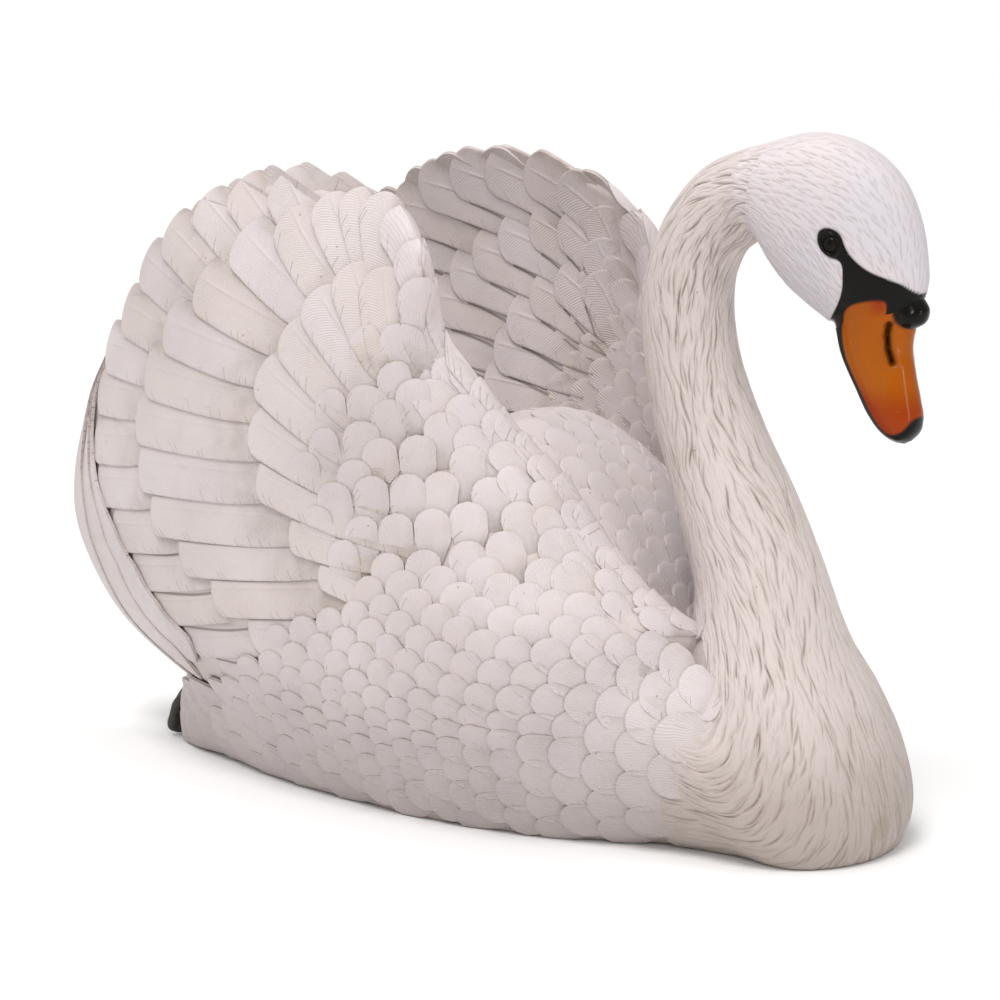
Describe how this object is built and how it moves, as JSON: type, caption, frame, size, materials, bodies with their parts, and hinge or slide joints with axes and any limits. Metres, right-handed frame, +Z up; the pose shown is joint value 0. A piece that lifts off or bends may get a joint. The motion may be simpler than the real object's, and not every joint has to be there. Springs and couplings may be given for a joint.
{
  "type": "mute swan statue",
  "caption": "Life-size painted resin statue of a mute swan afloat, neck arched and wings raised over an open hollow, on a flat base.",
  "frame": {"origin": "on the flat base at the waterline, on the plane of symmetry, under the middle of the body", "axes": "+X toward the bill, +Y to the bird's left, +Z up"},
  "size_m": [0.7536, 0.382, 0.5271],
  "materials": {
    "resin": "matte off-white painted resin, slightly grimed in the grooves",
    "head_paint": "cleaner, whiter satin paint",
    "orange_paint": "glossy orange paint under clear lacquer",
    "black_paint": "glossy black paint",
    "eye_gloss": "glossy near-black eye",
    "foot_paint": "matte black-brown paint"
  },
  "bodies": {
    "root": {"trunk": "resin", "neck_lower": "resin", "neck_upper": "resin", "head": "head_paint", "bill_upper": "orange_paint", "bill_lower": "black_paint", "bill_knob": "black_paint", "tail": "resin", "wing_left": "resin", "wing_right": "resin", "eye_left": "eye_gloss", "eye_right": "eye_gloss", "foot_left": "foot_paint", "foot_right": "foot_paint"}
  },
  "joints": []
}
